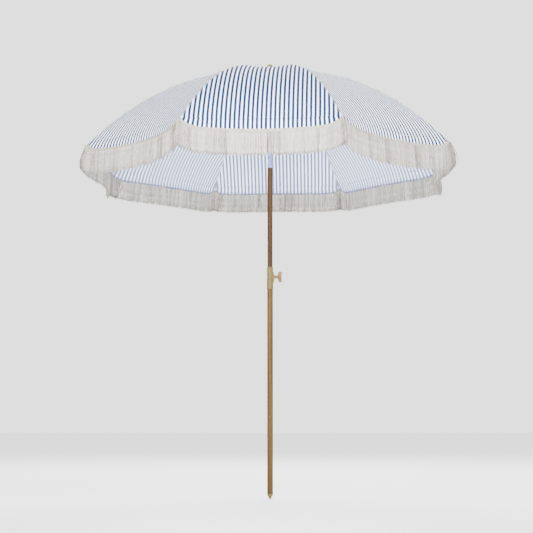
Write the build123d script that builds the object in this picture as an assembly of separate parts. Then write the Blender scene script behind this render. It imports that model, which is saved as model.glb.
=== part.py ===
"""A fringed beach umbrella: eight striped gores on eight bent ribs, a slide-up runner with eight struts,
a tilt joint under the canopy, and a two-piece telescoping pole with a clamp screw and a ground spike.

Frame: millimetres, +Z up the pole, origin at the point of the spike.  A rib, strut or gore is drawn along
+X and then turned to its place, so "radius" is x, "tangent" is y and "height" is z.
"""
from build123d import *
import os
from math import atan2, cos, degrees, hypot, radians, sin, sqrt, tan

# ---- Driving dimensions ------------------------------------------------------------------------------------
RIBS = 8
STEP = 360 / RIBS                # degrees from one rib to the next
HALF = STEP / 2
FIRST_RIB = -90 + HALF           # azimuth of rib 1, so that one gore faces -Y squarely

# Canopy: the height of its outer face over a rib is CROWN_Z - DROP * (radius / RIM_R) ** DOME
RIM_R = 900.0                    # from the axis to the canopy's corners
CROWN_Z = 2085.0
DROP = 420.0
DOME = 2.2
CLOTH = 1.0                      # cloth thickness, measured upright
EYELET_R = 9.0                   # hole in the middle of the canopy
SEAM_GAP = 0.5                   # left between neighbouring gores and fringes
VALANCE = 65.0                   # how far the middle of a gore's hem hangs under its corners
VALANCE_LEAN = 23.5              # how far inwards it hangs there

# Fringe: a plate that hangs in front of the valance
FRINGE_T = 4.0
FRINGE_H = 112.0
HEADER_LAP = 6.0                 # the fringe's top edge over the hem, at the middle of a gore
FRINGE_CORNER_DROP = 15.0        # its top edge under the canopy's corner

# Poles
UPPER_R = 12.5
UPPER_WALL = 1.0
LOWER_R = 14.0
LOWER_WALL = 1.1
NECK = 0.2
SPIKE_H = 27.0
LOWER_TOP = 1046.0
UPPER_BOTTOM = 560.0
UPPER_TOP = 1606.0

# Coupler and its clamp screw, whose axis is along +X
COUPLER_Z = (1008.0, 1115.0)
COUPLER_R = 15.5
SCREW_Z = 1067.0
SCREW_R = 3.0
NUT_R = 5.5
BOSS_X = 22.5
KNOB_X = (23.7, 58.0)
WING_SPAN = 26.5
WING_TURN = 14.0                 # the wings' turn from upright, degrees

# Tilt joint: a hinge along Y on the -X side of the pole
TILT_X, TILT_Z = -6.5, 1655.0
CHEEK_Y = (6.0, 9.5)             # each cheek's inner and outer face
CHEEK_TOP_R = 20.0               # about the hinge
BUTTON_X, BUTTON_Z = 5.5, 1638.0
BUTTON_R = 2.6

# Mast, crown and runner
MAST_BOTTOM = 1684.0
MAST_TOP = 2056.0
PIVOT_R = 24.0                   # pitch radius of the rib eyes and of the strut pins
CROWN_PIVOT_Z = 2078.0
WIRE_R = 1.0
HUB_R = 31.0
RUNNER_PIVOT_Z = 1850.0
RUNNER_BORE = 14.1
RUNNER_CORE = 18.4
RUNNER_FLANGE_R = 33.0
RUNNER_Z = (-46.0, 6.0)          # the runner's ends, from its pivots
CATCH_Z = 1802.5                 # top of the spring catch, under the runner

# Ribs and struts
RIB_R = 2.2
RIB_DEPTH = 5.0                  # rib centreline under the canopy's outer face
RIB_END = 894.0                  # radius under which the rib ends
CAP_R = 3.7
CAP_L = 26.0
JOINT_AT = 395.0                 # radius of the strut joint
JOINT_DEPTH = 9.0                # strut pivot under the rib's centreline
STRUT_T = 3.2
STRUT_R = 4.0                    # half the strut's height, and its ends' radius
RIVET_R = 1.5
FIT = 0.06                       # running clearance on a rivet or a screw, per side

COS_H, TAN_H = cos(radians(HALF)), tan(radians(HALF))


# ---- Shared helpers ----------------------------------------------------------------------------------------
def canopy_z(radius):
    """Height of the canopy's outer face over a rib."""
    return CROWN_Z - DROP * (radius / RIM_R) ** DOME


def canopy_slope(radius):
    """Rise over run of the same curve, negative."""
    return -DROP * DOME / RIM_R * (radius / RIM_R) ** (DOME - 1)


def under_canopy(radius, depth):
    """The point (x, z) that lies depth under the canopy, square to it."""
    s = canopy_slope(radius)
    k = depth / sqrt(1 + s * s)
    return radius + s * k, canopy_z(radius) - k


def at_azimuth(shape, degrees_round):
    return shape.rotate(Axis.Z, degrees_round)


def rib_azimuth(n):
    """Azimuth of rib n, from 1."""
    return FIRST_RIB + STEP * (n - 1)


def gore_azimuth(n):
    """Azimuth of the middle of gore n, which lies between rib n and the next one."""
    return rib_azimuth(n) + HALF


def upright(radius, z0, z1):
    """A cylinder on the pole's axis, from height z0 to z1."""
    return Pos(0, 0, z0) * Cylinder(radius, z1 - z0, align=(Align.CENTER, Align.CENTER, Align.MIN))


def across(radius, y0, y1, x, z):
    """A cylinder along Y, from y0 to y1."""
    return Pos(x, (y0 + y1) / 2, z) * Rot(90, 0, 0) * Cylinder(radius, y1 - y0)


def along_x(radius, x0, x1, z):
    return Pos((x0 + x1) / 2, 0, z) * Rot(0, 90, 0) * Cylinder(radius, x1 - x0)


def block(x, y, z):
    """A box from three (low, high) pairs."""
    centre = [(a + b) / 2 for a, b in (x, y, z)]
    return Pos(*centre) * Box(x[1] - x[0], y[1] - y[0], z[1] - z[0])


def turned(points):
    """A solid of revolution about the pole from its (radius, height) outline."""
    outline = Polyline([(r, 0, z) for r, z in points], close=True)
    return revolve(make_face(outline), Axis.Z)


def plate(points, y0, y1):
    """A flat plate across Y from its (x, z) outline."""
    outline = Polyline([(x, y0, z) for x, z in points], close=True)
    return extrude(make_face(outline), amount=y1 - y0, dir=(0, 1, 0))


def one_solid(shape):
    return shape.solids()[0]


# ---- Poles and coupler -------------------------------------------------------------------------------------
def ground_spike():
    """A short cone with a stub that plugs the lower pole."""
    stub = LOWER_R - LOWER_WALL - 0.05
    tip = 1.2
    cone = turned([(0, 0), (tip, 0.9), (LOWER_R - 1.0, SPIKE_H - 6), (LOWER_R, SPIKE_H - 3), (LOWER_R, SPIKE_H),
                   (stub, SPIKE_H), (stub, SPIKE_H + 38), (stub - 2, SPIKE_H + 40), (0, SPIKE_H + 40)])
    return one_solid(cone)


def lower_pole():
    """The tube, slightly necked where it enters the coupler."""
    tube = upright(LOWER_R, SPIKE_H, COUPLER_Z[0]) + upright(LOWER_R - NECK, COUPLER_Z[0], LOWER_TOP)
    return one_solid(tube - upright(LOWER_R - LOWER_WALL, SPIKE_H, LOWER_TOP))


def upper_pole():
    return upright(UPPER_R, UPPER_BOTTOM, UPPER_TOP) - upright(UPPER_R - UPPER_WALL, UPPER_BOTTOM, UPPER_TOP)


def slide_bush():
    """The plastic foot in the upper pole's end that slides in the lower pole."""
    stub = UPPER_R - UPPER_WALL - 0.05
    guide = LOWER_R - LOWER_WALL - 0.15
    foot = UPPER_BOTTOM - 14
    return turned([(0, foot), (guide - 1, foot), (guide, foot + 1), (guide, UPPER_BOTTOM), (stub, UPPER_BOTTOM),
                   (stub, UPPER_BOTTOM + 24), (0, UPPER_BOTTOM + 24)])


def pole_coupler():
    """The sleeve on top of the lower pole, with the clamp screw's boss on its +X side."""
    z0, z1 = COUPLER_Z
    body = turned([(0, z0), (COUPLER_R - 0.8, z0), (COUPLER_R, z0 + 1.5), (COUPLER_R, LOWER_TOP + 6),
                   (COUPLER_R - 0.5, LOWER_TOP + 12), (COUPLER_R - 0.5, z1 - 6), (COUPLER_R - 1.5, z1), (0, z1)])
    flank = plate([(8, SCREW_Z + 36), (13, SCREW_Z + 36), (BOSS_X, SCREW_Z + 9), (BOSS_X, SCREW_Z - 9),
                   (14, SCREW_Z - 40), (8, SCREW_Z - 40)], -7.5, 7.5)
    flank = fillet(flank.edges().filter_by(Axis.Z).group_by(Axis.X)[-1], 2.5)
    body = body + flank + along_x(9.5, 8, BOSS_X, SCREW_Z)
    body -= upright(LOWER_R - NECK + 0.03, z0, LOWER_TOP)
    body -= upright(UPPER_R + 0.08, LOWER_TOP, z1)
    body -= along_x(NUT_R, UPPER_R, BOSS_X, SCREW_Z)
    return one_solid(body)


def screw_insert():
    """The threaded brass bush in the boss."""
    return along_x(NUT_R, UPPER_R + 0.9, BOSS_X, SCREW_Z) - along_x(SCREW_R + FIT, UPPER_R, BOSS_X, SCREW_Z)


def clamp_screw():
    end = UPPER_R + 0.05
    rod = along_x(SCREW_R, end, KNOB_X[1] - 12, SCREW_Z)
    return chamfer(rod.edges().group_by(Axis.X)[0], 0.6)


def clamp_knob():
    """A two-winged knob moulded on the screw, with a thick neck that reaches almost to the boss."""
    x0, x1 = KNOB_X
    wing = [(x1 - 22, 0), (x1 - 21, 8), (x1 - 19, 16), (x1 - 17, 22), (x1 - 13, WING_SPAN - 0.5),
            (x1 - 7, WING_SPAN), (x1 - 2, WING_SPAN - 2), (x1, WING_SPAN - 7), (x1 - 1, 12), (x1 - 3, 0)]
    outline = [(x, SCREW_Z + h) for x, h in wing] + [(x, SCREW_Z - h) for x, h in reversed(wing[1:-1])]
    wings = plate(outline, -6, 6)
    wings = fillet(wings.edges(), 1.8)
    neck = Pos((x0 + x1 - 7) / 2, 0, SCREW_Z) * Rot(0, 90, 0) * Cone(6.2, 9.0, x1 - 7 - x0)
    knob = wings + neck - along_x(SCREW_R, 0, KNOB_X[1] - 12, SCREW_Z)
    return one_solid(knob).rotate(Axis((0, 0, SCREW_Z), (1, 0, 0)), WING_TURN)


# ---- Tilt joint --------------------------------------------------------------------------------------------
def tilt_bracket():
    """The socket on the upper pole and its two cheeks, rounded about the hinge that they carry."""
    seat = 1630.0
    top = TILT_Z + CHEEK_TOP_R
    inside, outside = CHEEK_Y
    body = upright(UPPER_R, UPPER_TOP, top)
    body = body & (across(CHEEK_TOP_R, -20, 20, TILT_X, TILT_Z) + block((-20, 20), (-20, 20), (1600, TILT_Z)))
    body -= block((-20, 20), (-inside, inside), (seat, top))
    for side in (-1, 1):
        body -= block((-20, 20), sorted((side * outside, side * 20)), (seat - 6, top))
    body += upright(UPPER_R - UPPER_WALL - 0.05, UPPER_TOP - 40, UPPER_TOP)
    body -= across(RIVET_R + 0.5, -12, 12, TILT_X, TILT_Z)
    body -= across(BUTTON_R + FIT, -12, -inside, BUTTON_X, BUTTON_Z)
    return one_solid(body)


def tilt_rivet():
    """The pivot pin, headed over on both cheeks."""
    head = CHEEK_Y[1]
    pin = across(RIVET_R + 0.5, -head, head, TILT_X, TILT_Z)
    for y0, y1 in ((-head - 0.9, -head), (head, head + 0.9)):
        pin += across(2.8, y0, y1, TILT_X, TILT_Z)
    return one_solid(pin)


def tilt_button():
    """The release button in the front cheek."""
    button = across(BUTTON_R, -CHEEK_Y[1] - 1.9, -CHEEK_Y[0] - 0.1, BUTTON_X, BUTTON_Z)
    return fillet(button.edges().group_by(Axis.Y)[0], 0.8)


def tilt_tongue():
    """The forged end of the mast that swings between the cheeks."""
    half = CHEEK_Y[0] - 0.3
    floor = TILT_Z + CHEEK_TOP_R + 0.6
    reach = 5.7
    blade = plate([(TILT_X - reach, TILT_Z), (TILT_X - reach, floor), (11.0, floor), (11.0, TILT_Z + 4),
                   (TILT_X + reach, TILT_Z - 2), (TILT_X, TILT_Z - 2)], -half, half)
    tongue = blade + across(reach, -half, half, TILT_X, TILT_Z) + upright(UPPER_R, floor, MAST_BOTTOM)
    tongue += upright(UPPER_R - UPPER_WALL - 0.05, MAST_BOTTOM, MAST_BOTTOM + 38)
    tongue -= across(RIVET_R + 0.5 + FIT, -9, 9, TILT_X, TILT_Z)
    return one_solid(tongue)


# ---- Mast, crown and runner --------------------------------------------------------------------------------
def mast_tube():
    tube = upright(UPPER_R, MAST_BOTTOM, MAST_TOP) - upright(UPPER_R - UPPER_WALL, MAST_BOTTOM, MAST_TOP)
    return tube - block((UPPER_R - 4, UPPER_R + 4), (-2.6, 2.6), (CATCH_Z - 34, CATCH_Z + 1))


def crown_hub():
    """The notched crown that the ribs hang in, with a socket for the mast."""
    top = 2082.4
    hub = turned([(5.1, top), (HUB_R - 1.5, top), (HUB_R, top - 1.5), (HUB_R, 2068), (HUB_R - 3, 2064), (17, 2060),
                  (15.5, 2020), (UPPER_R + 0.03, 2020), (UPPER_R + 0.03, MAST_TOP + 0.1), (5.1, MAST_TOP + 0.1)])
    for n in range(RIBS):
        notch = block((PIVOT_R - 4.6, HUB_R + 9), (-2.6, 2.6), (2050, 2090))
        hub -= at_azimuth(notch, rib_azimuth(n + 1))
    return one_solid(hub - crown_wire())


def crown_wire():
    """The ring of wire that threads the rib eyes."""
    return Pos(0, 0, CROWN_PIVOT_Z) * Torus(PIVOT_R, WIRE_R)


def crown_cap():
    """The reinforcing disc over the middle of the canopy."""
    under = CROWN_Z + 0.4
    return turned([(5.2, under), (33, under), (33, under + 0.9), (30, under + 1.6), (5.2, under + 2.4)])


def finial():
    """The turned knob whose stem holds the canopy down on the crown."""
    seat = CROWN_Z + 2.9
    ball_z, ball_r = 2115.0, 15.0
    stem = upright(5.0, MAST_TOP + 3, seat)
    collar = turned([(0, seat), (14, seat), (14.5, seat + 2), (13, seat + 5), (8, seat + 8), (8, ball_z - 8),
                     (0, ball_z - 8)])
    return one_solid(stem + collar + Pos(0, 0, ball_z) * Sphere(ball_r))


def runner():
    """The sleeve that slides on the mast. Each notch is open above, below and outwards, so a strut's pin may
    shift in it."""
    z0, z1 = (RUNNER_PIVOT_Z + z for z in RUNNER_Z)
    core = turned([(RUNNER_BORE, z0), (RUNNER_CORE - 1, z0), (RUNNER_CORE, z0 + 1), (RUNNER_CORE, z1 - 14),
                   (RUNNER_FLANGE_R - 2, z1 - 12), (RUNNER_FLANGE_R, z1 - 10), (RUNNER_FLANGE_R, z1 - 1),
                   (RUNNER_FLANGE_R - 1, z1), (RUNNER_BORE, z1)])
    for n in range(RIBS):
        notch = block((PIVOT_R - 4.8, RUNNER_FLANGE_R + 9), (-5.2, 5.2), (z0, z1 + 9))
        core -= at_azimuth(notch, rib_azimuth(n + 1))
    return one_solid(core)


def runner_catch():
    """The bent spring that stands out of the mast under the runner and holds it up."""
    nose, root, foot = UPPER_R + 5.2, UPPER_R - 2.8, CATCH_Z - 33
    leaf = [(nose, CATCH_Z), (nose - 1.5, CATCH_Z), (root, foot), (root, foot - 13), (root + 1.4, foot - 13),
            (root + 1.4, foot)]
    return plate(leaf, -2.2, 2.2)


# ---- Ribs and struts ---------------------------------------------------------------------------------------
def rib():
    """A bent rod with a flattened eye at the crown."""
    path_points = [under_canopy(radius, RIB_DEPTH) for radius in (27, 150, 300, 450, 600, 750, RIB_END)]
    path = Spline([(x, 0, z) for x, z in path_points])
    start = Plane(origin=path @ 0, z_dir=path % 0)
    rod = sweep(start * Circle(RIB_R), path=path)
    eye = across(3.6, -2.4, 2.4, PIVOT_R, CROWN_PIVOT_Z)
    neck = block((PIVOT_R + 0.5, 29), (-1.6, 1.6), (CROWN_PIVOT_Z - 1.0, CROWN_PIVOT_Z + 3.2))
    return one_solid(rod + eye + neck - across(WIRE_R + 0.35, -9, 9, PIVOT_R, CROWN_PIVOT_Z))


def joint_frame():
    """A location on the rib's centreline over the strut joint, with its x along the rib."""
    x, z = under_canopy(JOINT_AT, RIB_DEPTH)
    return Pos(x, 0, z) * Rot(0, -degrees(atan2(canopy_slope(JOINT_AT), 1)), 0)


def joint_point():
    """The strut's pivot on the rib, as (x, z)."""
    p = (joint_frame() * Pos(0, 0, -JOINT_DEPTH)).position
    return p.X, p.Z


def rib_fittings(rod):
    """The clip that carries the strut, its rivet, and the cap on the rib's outer end, as separate solids."""
    clip = block((-9, 9), (-4.0, 4.0), (-4, 3.0))
    for side in (-1, 1):
        y0, y1 = sorted((side * 1.9, side * 3.5))
        clip += block((-5, 5), (y0, y1), (-JOINT_DEPTH, -3)) + across(5, y0, y1, 0, -JOINT_DEPTH)
    clip -= across(RIVET_R, -9, 9, 0, -JOINT_DEPTH)
    clip = joint_frame() * clip - rod
    rivet = across(RIVET_R, -3.5, 3.5, 0, -JOINT_DEPTH)
    rivet += across(2.7, -4.6, -3.5, 0, -JOINT_DEPTH) + across(2.7, 3.5, 4.6, 0, -JOINT_DEPTH)
    x0, z0 = under_canopy(RIB_END - CAP_L, RIB_DEPTH)
    x1, z1 = under_canopy(RIB_END + 5, RIB_DEPTH)
    axis = Plane(origin=(x0, 0, z0), z_dir=(x1 - x0, 0, z1 - z0))
    length = hypot(x1 - x0, z1 - z0)
    cap = axis * Cylinder(CAP_R, length, align=(Align.CENTER, Align.CENTER, Align.MIN))
    cap = fillet(cap.edges().group_by(Axis.X)[-1], 1.5) - rod
    return Compound([one_solid(clip), one_solid(joint_frame() * rivet), one_solid(cap)])


def strut():
    """A flat bar from the runner to the rib, with the runner pin fixed in its inner end, as two solids."""
    x1, z1 = joint_point()
    x0, z0 = PIVOT_R, RUNNER_PIVOT_Z
    length = hypot(x1 - x0, z1 - z0)
    half = STRUT_T / 2
    bar = block((0, length), (-half, half), (-STRUT_R, STRUT_R))
    bar += across(STRUT_R, -half, half, 0, 0) + across(STRUT_R, -half, half, length, 0)
    bar -= across(1.3, -9, 9, 0, 0)
    bar -= across(RIVET_R + FIT, -9, 9, length, 0)
    pin = across(1.3, -4.6, 4.6, 0, 0)
    place = Pos(x0, 0, z0) * Rot(0, -degrees(atan2(z1 - z0, x1 - x0)), 0)
    return Compound([one_solid(place * bar), one_solid(place * pin)])


# ---- Canopy ------------------------------------------------------------------------------------------------
def wedge():
    """The sector of one gore, a little short of its neighbours on each side."""
    apex = SEAM_GAP / 2 / sin(radians(HALF))
    far = 1200.0
    sector = Polyline([(apex, 0, 0), (far, (far - apex) * TAN_H, 0), (far, -(far - apex) * TAN_H, 0)], close=True)
    return extrude(make_face(sector), amount=2400, dir=(0, 0, 1))


def hem_side(x0, x1, corner_z, middle_z, far_z):
    """What lies between the hem's arc and height far_z, seen along the gore's radius."""
    y = RIM_R * sin(radians(HALF)) + 8
    arc = ThreePointArc((x0, -y, corner_z), (x0, 0, middle_z), (x0, y, corner_z))
    rest = Polyline([(x0, y, corner_z), (x0, y, far_z), (x0, -y, far_z), (x0, -y, corner_z)])
    return extrude(make_face([arc, rest]), amount=x1 - x0, dir=(1, 0, 0))


def gore():
    """One cloth panel: a sheet that is straight across from rib to rib, and hangs down past the rib ends."""
    rim = RIM_R * COS_H
    over = [(EYELET_R - 2, CROWN_Z)]
    over += [(radius * COS_H, canopy_z(radius)) for radius in (150, 300, 450, 600, 750, RIM_R * 0.97, RIM_R)]
    under = [(x, z - CLOTH) for x, z in over]
    under[-1] = (rim - CLOTH, canopy_z((rim - CLOTH) / COS_H) - CLOTH)
    hem = (rim - VALANCE_LEAN, CROWN_Z - DROP - VALANCE - 3)
    outer = Spline([(x, 0, z) for x, z in over])
    inner = Spline([(x, 0, z) for x, z in under])
    tail = Polyline([(rim, 0, CROWN_Z - DROP), (hem[0], 0, hem[1]), (hem[0] - CLOTH, 0, hem[1]),
                     (under[-1][0], 0, under[-1][1])])
    section = make_face([outer, inner, tail, Line(outer @ 0, inner @ 0)])
    sheet = extrude(section, amount=RIM_R / 2, both=True, dir=(0, 1, 0)) & wedge()
    sheet -= hem_side(rim - 60, rim + 30, CROWN_Z - DROP - 4, CROWN_Z - DROP - VALANCE, CROWN_Z - DROP - 200)
    sheet -= upright(EYELET_R, CROWN_Z - 50, CROWN_Z + 50)
    return one_solid(sheet)


def fringe():
    """One gore's fringe, as a curved plate of its outer shape."""
    rim = RIM_R * COS_H
    y = RIM_R * sin(radians(HALF)) + 8
    corner, middle = rim + 4.5, rim - VALANCE_LEAN + 4
    low = CROWN_Z - DROP - 300
    inner = ThreePointArc((corner, -y, low), (middle, 0, low), (corner, y, low))
    outer = ThreePointArc((corner + FRINGE_T, -y, low), (middle + FRINGE_T, 0, low), (corner + FRINGE_T, y, low))
    ends = [Line(inner @ 0, outer @ 0), Line(inner @ 1, outer @ 1)]
    strip = extrude(make_face([inner, outer, *ends]), amount=400, dir=(0, 0, 1)) & wedge()
    top_corner = CROWN_Z - DROP - FRINGE_CORNER_DROP
    top_middle = CROWN_Z - DROP - VALANCE + HEADER_LAP
    strip -= hem_side(rim - 80, rim + 80, top_corner, top_middle, CROWN_Z)
    strip -= hem_side(rim - 80, rim + 80, top_corner - FRINGE_H, top_middle - FRINGE_H, low - 10)
    return one_solid(strip)


# ---- Export ------------------------------------------------------------------------------------------------
def all_parts():
    rod, one_strut, one_gore, one_fringe = rib(), strut(), gore(), fringe()
    fittings = rib_fittings(rod)
    parts = {f.__name__: f() for f in (
        ground_spike, lower_pole, pole_coupler, screw_insert, clamp_screw, clamp_knob, upper_pole, slide_bush,
        tilt_bracket, tilt_rivet, tilt_button, tilt_tongue, mast_tube, crown_hub, crown_wire, crown_cap, finial,
        runner, runner_catch)}
    for n in range(1, RIBS + 1):
        parts[f"rib_{n}"] = at_azimuth(rod, rib_azimuth(n))
        parts[f"rib_fittings_{n}"] = at_azimuth(fittings, rib_azimuth(n))
        parts[f"strut_{n}"] = at_azimuth(one_strut, rib_azimuth(n))
        parts[f"canopy_panel_{n}"] = at_azimuth(one_gore, gore_azimuth(n))
        parts[f"fringe_{n}"] = at_azimuth(one_fringe, gore_azimuth(n))
    return parts


if __name__ == "__main__":
    os.makedirs("parts", exist_ok=True)
    for name, shape in all_parts().items():
        export_step(shape, f"parts/{name}.step")
    print("strut joint", [round(v, 3) for v in joint_point()])
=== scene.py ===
"""The beach umbrella's visual model: striped cloth gores, braided fringes and procedural materials, built
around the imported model, whose other parts are shown as they are.  Metres, +Z up the pole.
"""
import math

import bpy
import numpy as np
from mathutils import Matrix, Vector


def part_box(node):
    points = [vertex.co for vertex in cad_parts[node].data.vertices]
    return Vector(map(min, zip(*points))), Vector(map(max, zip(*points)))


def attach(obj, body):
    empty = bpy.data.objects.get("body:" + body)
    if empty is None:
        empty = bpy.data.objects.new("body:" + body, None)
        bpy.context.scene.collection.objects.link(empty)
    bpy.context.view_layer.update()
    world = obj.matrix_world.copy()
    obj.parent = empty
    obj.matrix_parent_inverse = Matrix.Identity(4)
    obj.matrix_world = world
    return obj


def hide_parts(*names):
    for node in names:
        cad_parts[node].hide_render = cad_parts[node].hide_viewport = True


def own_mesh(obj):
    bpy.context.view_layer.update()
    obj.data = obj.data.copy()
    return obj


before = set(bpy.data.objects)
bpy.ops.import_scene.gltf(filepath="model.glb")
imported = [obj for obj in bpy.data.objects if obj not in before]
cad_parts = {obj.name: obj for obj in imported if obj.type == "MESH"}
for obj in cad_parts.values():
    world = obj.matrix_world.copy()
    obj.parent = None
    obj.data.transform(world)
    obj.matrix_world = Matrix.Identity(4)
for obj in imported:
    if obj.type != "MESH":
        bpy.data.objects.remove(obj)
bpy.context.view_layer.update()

# ---- Sizes, in metres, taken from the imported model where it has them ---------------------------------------
RIBS = 8
STEP = 360 / RIBS
HALF = math.radians(STEP / 2)
CROWN_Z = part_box("canopy_panel_1")[1][2]
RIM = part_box("canopy_panel_4")[1][1]            # from the axis to the middle of the canopy's straight edge
RIM_R = RIM / math.cos(HALF)                    # and to its corners
DROP, DOME = 0.420, 2.2                         # the edge under the crown, and the power of the dome's curve
EDGE_Z = CROWN_Z - DROP
HOLE_R = 0.009
CLOTH = 0.0007
STRIPE, BLUE = 0.0194, 0.56                     # stripe pitch and the blue share of it
THREAD = (0.0009, 0.0011)                       # pitch of the warp and of the weft
CUT_SLOPE = 0.45                                # the cloth's mean slope, which gives its length along the rib

# The gore's edge is tucked in between its ribs, from TUCK_FROM outwards
TUCK = 0.045                                    # how far the middle of the edge sits inside the straight
TUCK_FROM = 0.60
EDGE_SLOPE = 1.027                              # the dome's fall per radius at its edge
EDGE_LEAN = 0.90                                # how far the hem leans out there, per height

# Hem: how far its middle hangs under the gore's corners
HEM_DROP = CROWN_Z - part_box("canopy_panel_1")[0][2] - DROP - 0.004
HEM_SHORT = 0.003                               # less than that at the sides
HEM_VARIES = 0.010                              # deeper than the sides in front, shallower behind
HEM_BOW = 0.007                                 # how much of the depth is a plain bow and not a quick corner

# Fringe: a braid and, from inside it, the strands
LAP = 0.018                                     # how far the braid reaches up over the hem
PROUD = 0.0006                                  # the gap between hem and braid
HEADER_H, HEADER_T = 0.019, 0.0022
FRINGE_L, FRINGE_VARIES = 0.095, 0.002          # length below the braid, longer in front and shorter behind
STRAND_FROM = 0.012                             # where a strand starts, under the braid's upper edge
STRANDS, CORNER_STRANDS = 740, 56               # spread along a hem, and added at each of its ends
CLUMPS = 48                                     # tufts along a hem, which share a tone and a drift
FRINGE_END = 0.998                              # the last strand's share of the half width
JOINS = {8: 0.08, 4: -0.06}                     # gores on which the trim's ends meet, and where
JOIN_GAP, JOIN_TINT = 0.0028, 0.008             # half width of the gap there, and of its darker strands

rng = np.random.default_rng(7)


# ---- Shader helpers ----------------------------------------------------------------------------------------
class Nodes:
    """A material's node tree, with short ways to add nodes."""

    def __init__(self, name):
        self.mat = bpy.data.materials.new(name)
        self.mat.use_nodes = True
        self.tree = self.mat.node_tree
        self.tree.nodes.clear()
        self.out = self.add("ShaderNodeOutputMaterial")
        self.bsdf = self.add("ShaderNodeBsdfPrincipled")
        self.join(self.bsdf.outputs[0], self.out.inputs["Surface"])

    def add(self, kind, **settings):
        node = self.tree.nodes.new(kind)
        for key, value in settings.items():
            setattr(node, key, value)
        return node

    def join(self, a, b):
        self.tree.links.new(a, b)

    def put(self, value, socket):
        if isinstance(value, bpy.types.NodeSocket):
            self.join(value, socket)
        else:
            socket.default_value = value

    def math(self, operation, a, b=0.0, c=0.0):
        node = self.add("ShaderNodeMath", operation=operation)
        for socket, value in zip(node.inputs, (a, b, c)):
            self.put(value, socket)
        return node.outputs[0]

    def step(self, value, low, high):
        """0 under low and 1 over high, smoothly."""
        node = self.add("ShaderNodeMapRange", interpolation_type="SMOOTHSTEP")
        self.put(value, node.inputs["Value"])
        node.inputs["From Min"].default_value = low
        node.inputs["From Max"].default_value = high
        return node.outputs["Result"]

    def mix(self, factor, a, b, blend="MIX"):
        node = self.add("ShaderNodeMix", data_type="RGBA", blend_type=blend)
        self.put(factor, node.inputs["Factor"])
        self.put(a, node.inputs[6])
        self.put(b, node.inputs[7])
        return node.outputs[2]

    def noise(self, vector, scale, detail=3.0, rough=0.55):
        node = self.add("ShaderNodeTexNoise")
        if vector is not None:
            self.join(vector, node.inputs["Vector"])
        node.inputs["Scale"].default_value = scale
        node.inputs["Detail"].default_value = detail
        node.inputs["Roughness"].default_value = rough
        return node.outputs["Fac"]

    def scaled(self, vector, x, y, z):
        node = self.add("ShaderNodeMapping")
        self.join(vector, node.inputs["Vector"])
        node.inputs["Scale"].default_value = (x, y, z)
        return node.outputs["Vector"]

    def bump(self, height, distance, strength=1.0):
        node = self.add("ShaderNodeBump")
        node.inputs["Distance"].default_value = distance
        node.inputs["Strength"].default_value = strength
        self.put(height, node.inputs["Height"])
        self.join(node.outputs["Normal"], self.bsdf.inputs["Normal"])

    def let_light_through(self, colour, share):
        """Mixes the surface with a share of translucent cloth."""
        through = self.add("ShaderNodeBsdfTranslucent")
        self.join(colour, through.inputs["Color"])
        blend = self.add("ShaderNodeMixShader")
        blend.inputs[0].default_value = share
        self.join(self.bsdf.outputs[0], blend.inputs[1])
        self.join(through.outputs[0], blend.inputs[2])
        self.join(blend.outputs[0], self.out.inputs["Surface"])

    def attribute(self, name):
        return self.add("ShaderNodeAttribute", attribute_name=name)

    def set(self, **values):
        for key, value in values.items():
            self.put(value, self.bsdf.inputs[key.replace("_", " ")])
        return self


def rgb(r, g, b):
    """A scene colour from 8-bit sRGB values."""
    def linear(c):
        c /= 255
        return c / 12.92 if c <= 0.04045 else ((c + 0.055) / 1.055) ** 2.4
    return (linear(r), linear(g), linear(b), 1.0)


def times(colour, factor):
    """A lighter or darker version of a scene colour."""
    return [min(1, c * factor) for c in colour[:3]] + [1]


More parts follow.
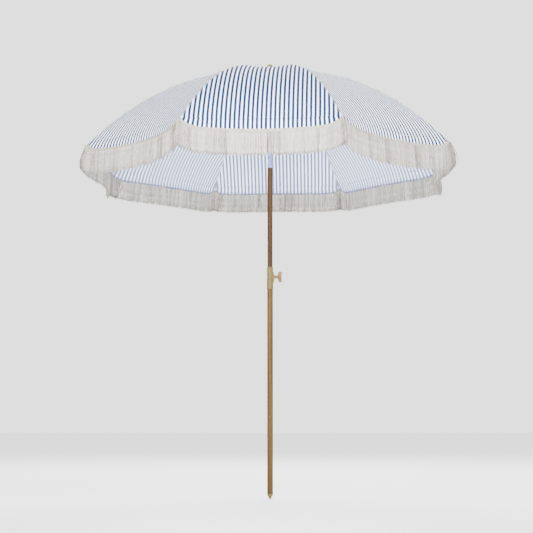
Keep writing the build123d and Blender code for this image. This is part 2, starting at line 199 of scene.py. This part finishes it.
# ---- Materials ---------------------------------------------------------------------------------------------
def cloth_material(name, white, blue, lit_through, hem_shade_colour=None):
    """Woven cloth with narrow stripes, and a painted shade band along the hem when a colour is given for it.
    The UV map holds the cut cloth's own coordinates, in metres.
    """
    n = Nodes(name)
    uv = n.add("ShaderNodeUVMap", uv_map="cut").outputs["UV"]
    xyz = n.add("ShaderNodeSeparateXYZ")
    n.join(uv, xyz.inputs[0])
    across, along = xyz.outputs["X"], xyz.outputs["Y"]
    wobble = n.math("MULTIPLY_ADD", n.noise(n.scaled(uv, 9, 4, 1), 1.0), 0.0012, -0.0006)
    phase = n.math("FRACT", n.math("DIVIDE", n.math("ADD", across, wobble), STRIPE))
    near = n.math("ABSOLUTE", n.math("SUBTRACT", phase, 0.5))
    stripe = n.math("SUBTRACT", 1.0, n.step(near, BLUE / 2 - 0.022, BLUE / 2 + 0.022))
    weft = n.math("SINE", n.math("MULTIPLY", along, 2 * math.pi / THREAD[1]))
    warp = n.math("SINE", n.math("MULTIPLY", across, 2 * math.pi / THREAD[0]))
    thread = n.math("MULTIPLY", weft, warp)
    worn = n.noise(n.scaled(uv, 900, 60, 1), 1.0, 2.0)
    blue_yarn = n.mix(n.step(worn, 0.35, 0.7), blue, times(blue, 1.25))
    patch = n.step(n.noise(n.scaled(uv, 5, 5, 1), 1.0, 2.0), 0.3, 0.75)
    ground = n.mix(n.math("MULTIPLY", patch, 0.10), white, times(white, 0.86))
    colour = n.mix(stripe, ground, blue_yarn)
    seam = n.math("SUBTRACT", 1.0, n.step(n.attribute("seam").outputs["Fac"], 0.0045, 0.0062))
    to_stitch = n.math("ABSOLUTE", n.math("SUBTRACT", n.attribute("seam").outputs["Fac"], 0.0055))
    stitch = n.math("SUBTRACT", 1.0, n.step(to_stitch, 0.0003, 0.0010))
    colour = n.mix(n.math("MULTIPLY", seam, 0.16), colour, times(white, 0.7))
    colour = n.mix(n.math("MULTIPLY", stitch, 0.35), colour, times(white, 0.5))
    # Painted shade: a dark blue-violet band along the hem's lower edge on the inside, where the braid meets the
    # cloth
    if hem_shade_colour is not None:
        hem_shade = n.math("SUBTRACT", 1.0, n.step(n.attribute("hem").outputs["Fac"], 0.007, 0.011))
        colour = n.mix(n.math("MULTIPLY", hem_shade, 0.75), colour, hem_shade_colour)
    n.set(Base_Color=colour, Roughness=0.9, Specular_IOR_Level=0.05)
    n.bump(n.math("ADD", n.math("MULTIPLY", thread, 0.35), n.math("MULTIPLY", seam, 1.0)), 0.0003, 0.6)
    n.let_light_through(colour, lit_through)
    return n.mat


def cord_material(name, light, warm):
    """Cotton fringe: each strand has its own tone."""
    n = Nodes(name)
    tone = n.attribute("tone").outputs["Fac"]
    where = n.add("ShaderNodeTexCoord").outputs["Object"]
    speckle = n.noise(n.scaled(where, 900, 900, 260), 1.0, 2.0)
    colour = n.mix(tone, light, warm)
    colour = n.mix(n.math("MULTIPLY", n.step(speckle, 0.4, 0.75), 0.25), colour, times(warm, 0.62))
    n.set(Base_Color=colour, Roughness=0.95, Specular_IOR_Level=0.1)
    n.bump(speckle, 0.0006, 0.5)
    n.let_light_through(colour, 0.55)
    return n.mat


def wood_print(name, light, dark, tint):
    """A glossy printed wood grain on a tube."""
    n = Nodes(name)
    where = n.add("ShaderNodeTexCoord").outputs["Object"]
    broad = n.noise(n.scaled(where, 95, 95, 2.2), 1.0, 4.0, 0.6)
    fine = n.noise(n.scaled(where, 420, 420, 5.0), 1.0, 3.0, 0.6)
    rings = n.math("SINE", n.math("MULTIPLY", n.noise(n.scaled(where, 42, 42, 0.9), 1.0, 2.0), 46.0))
    colour = n.mix(n.step(broad, 0.30, 0.72), dark, light)
    colour = n.mix(n.math("MULTIPLY", n.step(fine, 0.52, 0.72), 0.45), colour, dark)
    colour = n.mix(n.math("MULTIPLY", n.step(rings, 0.25, 1.0), 0.28), colour, tint)
    n.set(Base_Color=colour, Roughness=0.55, Specular_IOR_Level=0.06)
    n.bump(fine, 0.0001, 0.3)
    return n.mat


def plain(name, colour, rough, metal=0.0, grain=0.05, scale=900.0):
    """A moulded, painted or plated finish with slight unevenness."""
    n = Nodes(name)
    where = n.add("ShaderNodeTexCoord").outputs["Object"]
    cloud = n.noise(where, scale / 12, 3.0)
    speck = n.noise(where, scale, 2.0)
    shade = n.mix(n.math("MULTIPLY", n.step(cloud, 0.35, 0.7), grain * 3), colour, times(colour, 0.72))
    n.set(Base_Color=shade, Metallic=metal, Specular_IOR_Level=0.12,
          Roughness=n.math("MULTIPLY_ADD", cloud, 0.16, rough - 0.08))
    n.bump(speck, 0.00012, grain * 4)
    return n.mat


OUTSIDE = cloth_material("canopy_cloth", rgb(242, 246, 252), rgb(32, 46, 80), 0.40)
# The lining's last colour is a painted shade band along the inside of the hem
INSIDE = cloth_material("canopy_lining", rgb(236, 240, 252), rgb(138, 154, 188), 0.66, rgb(112, 118, 154))
FRINGE = cord_material("fringe_cord", rgb(216, 213, 208), rgb(150, 143, 132))
HEADER = cord_material("fringe_braid", rgb(206, 201, 190), rgb(166, 156, 136))
UPPER = wood_print("upper_pole", rgb(58, 41, 25), rgb(39, 27, 16), rgb(47, 34, 21))
LOWER = wood_print("lower_pole", rgb(70, 53, 25), rgb(49, 36, 16), rgb(59, 45, 21))
COUPLER = plain("coupler_plastic", rgb(79, 66, 34), 0.48)
SPIKE = plain("beige_plastic", rgb(84, 69, 38), 0.5)
KNOB = plain("knob_plastic", rgb(80, 63, 32), 0.45)
GALV = plain("tilt_metal", rgb(108, 122, 164), 0.42, 0.1, 0.2, 420)
STEEL = plain("steel", rgb(160, 162, 164), 0.35, 0.9)
DARK_RIVET = plain("dark_rivet", rgb(34, 36, 56), 0.5, 0.1)
WHITE = plain("white_plastic", rgb(226, 227, 228), 0.5)
BLACK = plain("black_plastic", rgb(28, 28, 29), 0.5)
RIB = plain("rib_paint", rgb(190, 196, 204), 0.45, 0.2)
BRASS = plain("brass", rgb(190, 158, 92), 0.35, 0.9)
KNOT = wood_print("finial_wood", rgb(128, 110, 76), rgb(98, 80, 52), rgb(112, 94, 62))
CAP = plain("white_cloth", rgb(232, 235, 242), 0.85)

FINISH = {
    "lower_pole": LOWER, "upper_pole": UPPER, "mast_tube": UPPER, "pole_coupler": COUPLER,
    "ground_spike": SPIKE, "clamp_knob": KNOB, "clamp_screw": STEEL, "screw_insert": BRASS,
    "slide_bush": BLACK, "tilt_bracket": GALV, "tilt_tongue": GALV, "tilt_rivet": DARK_RIVET,
    "tilt_button": DARK_RIVET, "crown_hub": WHITE, "crown_wire": STEEL, "crown_cap": CAP, "finial": KNOT,
    "runner": WHITE, "runner_catch": STEEL,
}
for k in range(1, RIBS + 1):
    FINISH[f"rib_{k}"] = FINISH[f"strut_{k}"] = RIB
    FINISH[f"rib_fittings_{k}"] = STEEL
for node, material in FINISH.items():
    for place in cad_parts[node].material_slots:
        place.material = material


# ---- Mesh helpers ------------------------------------------------------------------------------------------
def placed(points, turn):
    """Local (radius, tangent, height) points turned to a gore's azimuth."""
    p = np.asarray(points, float).reshape(-1, 3)
    c, s = math.cos(turn), math.sin(turn)
    return np.column_stack((p[:, 0] * c - p[:, 1] * s, p[:, 0] * s + p[:, 1] * c, p[:, 2]))


def mesh_object(name, points, faces, materials):
    """A smooth-shaded mesh, linked into the scene."""
    mesh = bpy.data.meshes.new(name)
    mesh.from_pydata([tuple(p) for p in points], [], faces)
    mesh.polygons.foreach_set("use_smooth", [True] * len(mesh.polygons))
    for m in materials:
        mesh.materials.append(m)
    mesh.update()
    obj = bpy.data.objects.new(name, mesh)
    bpy.context.scene.collection.objects.link(obj)
    return obj


def grid_faces(rows, columns):
    """Quads of a grid whose points run along columns first."""
    return [(i * columns + j, i * columns + j + 1, (i + 1) * columns + j + 1, (i + 1) * columns + j)
            for i in range(rows - 1) for j in range(columns - 1)]


def store(obj, name, values):
    """Keeps one number for each point, for a material to read."""
    layer = obj.data.attributes.new(name, "FLOAT", "POINT")
    layer.data.foreach_set("value", np.asarray(values, np.float32))


def store_uv(obj, uv):
    """Keeps where each point lies on the flat cloth."""
    layer = obj.data.uv_layers.new(name="cut")
    corners = np.empty(len(obj.data.loops), np.int32)
    obj.data.loops.foreach_get("vertex_index", corners)
    layer.data.foreach_set("uv", np.asarray(uv, np.float32)[corners].ravel())


def thicken(obj, thickness, inside):
    """Gives a sheet its second face, on the inside, with its own material."""
    solid = obj.modifiers.new("thickness", "SOLIDIFY")
    solid.thickness = thickness
    solid.offset = -1
    solid.material_offset = inside
    solid.material_offset_rim = 0


# ---- Canopy shape ------------------------------------------------------------------------------------------
def gore_surface(u, r):
    """A gore's outer face: u runs from -1 to 1 between its ribs and r is the radius along them."""
    t = np.clip((r - TUCK_FROM) / (RIM_R - TUCK_FROM), 0, 1)
    x = r * math.cos(HALF) - TUCK * t ** 3 * (1 - u * u)
    return x, u * r * math.sin(HALF), CROWN_Z - DROP * (r / RIM_R) ** DOME


def hem_drop(u, turn):
    """How far the hem hangs under the straight line between a gore's corners."""
    deepest = HEM_DROP - HEM_SHORT - HEM_VARIES * math.sin(turn)
    return LAP + (deepest - LAP - HEM_BOW) * (1 - np.abs(u) ** 12) + HEM_BOW * (1 - u * u)


def sideways(u, x):
    """The tangent, at radius x, of a point whose share across the gore is u; neighbours meet at the ribs."""
    return u * math.tan(HALF) * (RIM + u ** 4 * (x - RIM))


def flap_surface(u, s):
    """The gore's face below that line: s is the distance down."""
    lean = EDGE_LEAN - 3 * TUCK / (RIM_R - TUCK_FROM) / EDGE_SLOPE * (1 - u * u)
    x = RIM - TUCK * (1 - u * u) + lean * (s - s * s / 0.13)
    return x, sideways(u, x), EDGE_Z - s


def waves(u, r, seed):
    """Shallow puckers along the seams, slow sway between them, and a sag that is deepest near the crown."""
    g = np.random.default_rng(seed)
    out = np.zeros_like(u)
    for side in (-1, 1):
        near = np.exp(-((1 - side * u) * r * math.sin(HALF) / 0.035) ** 2)
        for _ in range(4):
            out += near * 0.0006 * np.sin(r * g.uniform(60, 150) + g.uniform(0, 6.3))
    out += 0.0016 * np.sin(r * g.uniform(7, 10) + g.uniform(0, 6.3)) * (1 - u * u)
    out += 0.0010 * np.sin(u * g.uniform(5, 8) + r * 9 + g.uniform(0, 6.3)) * (1 - u ** 4)
    return out - (0.0022 + 0.0060 * np.exp(-((r - 0.28) / 0.17) ** 2)) * (1 - u * u)


def make_gore(k, turn):
    """A gore's cloth, from the crown to the rib ends."""
    columns, rows = 61, 96
    u = np.tile(np.linspace(-1, 1, columns), rows)
    r = np.repeat(HOLE_R + (RIM_R - HOLE_R) * np.linspace(0, 1, rows) ** 0.7, columns)
    x, y, z = gore_surface(u, r)
    z = z + waves(u, r, 100 + k) * np.clip((r - 0.05) / 0.2, 0, 1) * np.clip((RIM_R - r) / 0.05, 0, 1)
    points = placed(np.column_stack((x, y, z)), turn)
    faces = [f[::-1] for f in grid_faces(rows, columns)]
    gore = mesh_object(f"gore_{k}", points, faces, [OUTSIDE, INSIDE])
    store_uv(gore, np.column_stack((y + STRIPE / 2, r * math.hypot(1, CUT_SLOPE))))
    store(gore, "seam", (1 - np.abs(u)) * r * math.sin(HALF))
    store(gore, "hem", np.ones(len(u)))
    thicken(gore, CLOTH, 1)
    return gore


def make_flap(k, turn):
    """The gore's lowest part, which hangs below the rib ends."""
    columns = 61
    steps = np.linspace(0.0, 1.0, 9)
    u, t = np.tile(np.linspace(-1, 1, columns), len(steps)), np.repeat(steps, columns)
    s = t * hem_drop(u, turn)
    x, y, z = flap_surface(u, s)
    x = x + 0.0010 * np.sin(u * 17 + k) * t * (1 - u * u)
    points = placed(np.column_stack((x, y, z)), turn)
    faces = [f[::-1] for f in grid_faces(len(steps), columns)]
    flap = mesh_object(f"hem_{k}", points, faces, [OUTSIDE, INSIDE])
    across = u * RIM_R * math.sin(HALF)
    store_uv(flap, np.column_stack((across + STRIPE / 2, RIM_R * math.hypot(1, CUT_SLOPE) + s)))
    store(flap, "hem", hem_drop(u, turn) - s)
    store(flap, "seam", (1 - np.abs(u)) * RIM_R * math.sin(HALF))
    thicken(flap, CLOTH, 1)
    return flap


# ---- Fringe ------------------------------------------------------------------------------------------------
def fringe_top(u, turn):
    """Where the fringe's upper edge runs: radius, tangent and height."""
    x, _, z = flap_surface(u, hem_drop(u, turn) - LAP)
    return x + PROUD, sideways(u, x + PROUD), z


def make_header(k, turn):
    """The woven braid that carries the strands."""
    columns = 121
    us = np.linspace(-0.999, 0.999, columns)
    z = fringe_top(us, turn)[2]
    profile = [(0, 0), (HEADER_T, -0.001), (HEADER_T * 1.25, -HEADER_H / 2),
               (HEADER_T, -HEADER_H + 0.001), (0, -HEADER_H)]
    rows = []
    for i, (dx, dz) in enumerate(profile):
        ripple = 0.0005 * np.sin(us * 260 + i)
        lower = flap_surface(us, hem_drop(us, turn) - LAP - dz)[0]
        out = lower + PROUD + dx + ripple * (dx > 0)
        rows.append(np.column_stack((out, sideways(us, out), z + dz)))
    points = placed(np.vstack(rows + [rows[0]]), turn)
    band = mesh_object(f"fringe_braid_{k}", points, grid_faces(len(profile) + 1, columns), [HEADER])
    store(band, "tone", rng.random(len(points)))
    return band


def make_strands(k, turn, join=None):
    """Soft twisted strands that hang from the braid in two staggered rows, with more at the corners."""
    rings, sides = 8, 4
    t = np.linspace(0, 1, rings)
    points, tones, faces = [], [], []
    g = np.random.default_rng(40 + k)
    us = np.linspace(-FRINGE_END, FRINGE_END, STRANDS) + g.normal(0, 0.0006, STRANDS)
    corners = 1 - 0.07 * g.random(CORNER_STRANDS) ** 1.5
    us = np.concatenate((us, corners, -corners))
    if join is not None:
        us = us[np.abs(us - join) > JOIN_GAP]
    clump = np.interp(us, np.linspace(-1, 1, CLUMPS), g.normal(0, 1, CLUMPS))
    for i, u in enumerate(us):
        u = float(np.clip(u, -FRINGE_END, FRINGE_END))
        corner = abs(u) ** 14
        below = (FRINGE_L - FRINGE_VARIES * math.sin(turn)) * (1 + 0.08 * corner) * g.normal(1, 0.028)
        length = below + HEADER_H - STRAND_FROM
        flare = (0.006 + 0.012 * corner) * g.normal(1, 0.25)
        row = 0.0007 + 0.0026 * (i % 2) + abs(g.normal(0, 0.0008))
        drift = 0.0042 * clump[i] + 0.004 * corner * math.copysign(1, u)
        hang = float(flap_surface(np.float64(u), hem_drop(u, turn) - LAP + STRAND_FROM)[0])
        path_x = hang + row + flare * np.sin(t * math.pi * 0.62)
        sway = 0.0009 + 0.0022 * abs(u) ** 8
        swing = sway * np.sin(t * g.uniform(8, 15) + g.uniform(0, 6.3))
        path_y = sideways(u, path_x) + drift * t ** 1.3 + swing
        path_z = float(fringe_top(np.float64(u), turn)[2]) - STRAND_FROM - length * t
        thick = g.uniform(0.0013, 0.0021) * (1 - 0.35 * t ** 3)
        start = len(points)
        for j in range(rings):
            for m in range(sides):
                a = 2 * math.pi * m / sides + j * 0.7
                out, along = thick[j] * math.cos(a), thick[j] * math.sin(a)
                points.append((path_x[j] + out, path_y[j] + along, path_z[j]))
        tone = 0.30 + 0.18 * clump[i] + g.normal(0, 0.28) + 0.35 * corner
        if join is not None and abs(u - join) < JOIN_TINT:
            tone += 0.7
        tones += [float(np.clip(tone, 0, 1.2))] * (rings * sides)
        for j in range(rings - 1):
            for m in range(sides):
                a, b = start + j * sides + m, start + j * sides + (m + 1) % sides
                faces.append((a, a + sides, b + sides, b))
        faces.append(tuple(start + (rings - 1) * sides + m for m in range(sides)))
    strands = mesh_object(f"fringe_strands_{k}", placed(points, turn), faces, [FRINGE])
    store(strands, "tone", tones)
    return strands


# ---- Gores and fringes, one at a time ----------------------------------------------------------------------
for k in range(1, RIBS + 1):
    turn = math.radians(-90 + STEP * k)
    gore, hem = make_gore(k, turn), make_flap(k, turn)
    braid, strands = make_header(k, turn), make_strands(k, turn, join=JOINS.get(k))
    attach(gore, f"canopy_panel_{k}")
    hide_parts(f"canopy_panel_{k}")
    for piece in (hem, braid, strands):
        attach(piece, f"fringe_{k}")
    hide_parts(f"fringe_{k}")
    for piece in (gore, hem, braid, strands):
        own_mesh(piece)


# ---- Stage, light and camera -------------------------------------------------------------------------------
def area_light(name, place, target, size, power, spread=180):
    """A round soft light at a place, turned to a target."""
    data = bpy.data.lights.new(name, "AREA")
    data.shape = "DISK"
    data.size, data.energy, data.spread = size, power, math.radians(spread)
    light = bpy.data.objects.new(name, data)
    bpy.context.scene.collection.objects.link(light)
    light.location = place
    away = np.array(place, float) - np.array(target, float)
    yaw = math.atan2(away[0], -away[1])
    pitch = math.atan2(away[2], math.hypot(away[0], away[1]))
    light.rotation_euler = (math.pi / 2 - pitch, 0, yaw)
    return light


world = bpy.data.worlds.new("studio")
world.use_nodes = True
sky = world.node_tree.nodes["Background"]
sky.inputs["Color"].default_value = (1, 1, 1, 1)
sky.inputs["Strength"].default_value = 2.4
bpy.context.scene.world = world

FAR = 40
FLOOR = plain("floor_paint", rgb(236, 236, 236), 0.9, 0.0, 0.0)
square = [(-FAR, -FAR, 0), (FAR, -FAR, 0), (FAR, FAR, 0), (-FAR, FAR, 0)]
floor = mesh_object("floor", square, [(0, 1, 2, 3)], [FLOOR])
area_light("key", (3.2, -4.2, 5.2), (0, 0, 1.6), 3.0, 490)
area_light("fill", (-3.5, -4.0, 2.5), (0, 0, 1.2), 3.5, 60)
area_light("bounce", (0, -3.3, 0.75), (0, 0.5, 1.8), 1.1, 165, spread=95)
area_light("back", (0, 4.2, 5.6), (0, 0.6, 1.6), 3.0, 800)

SIDE, UP, TOE = (math.radians(a) for a in (2.64, 7.01, 0.16))   # its azimuth, its pitch and its turn aside
AWAY, EYE_Z = 6.14, 0.3635
camera = bpy.data.objects.new("camera", bpy.data.cameras.new("camera"))
bpy.context.scene.collection.objects.link(camera)
camera.data.lens = 85.85
camera.data.sensor_width = 36
camera.location = (AWAY * math.sin(SIDE), -AWAY * math.cos(SIDE), EYE_Z)
camera.rotation_euler = (math.radians(90) + UP, 0, SIDE + TOE)
bpy.context.scene.camera = camera
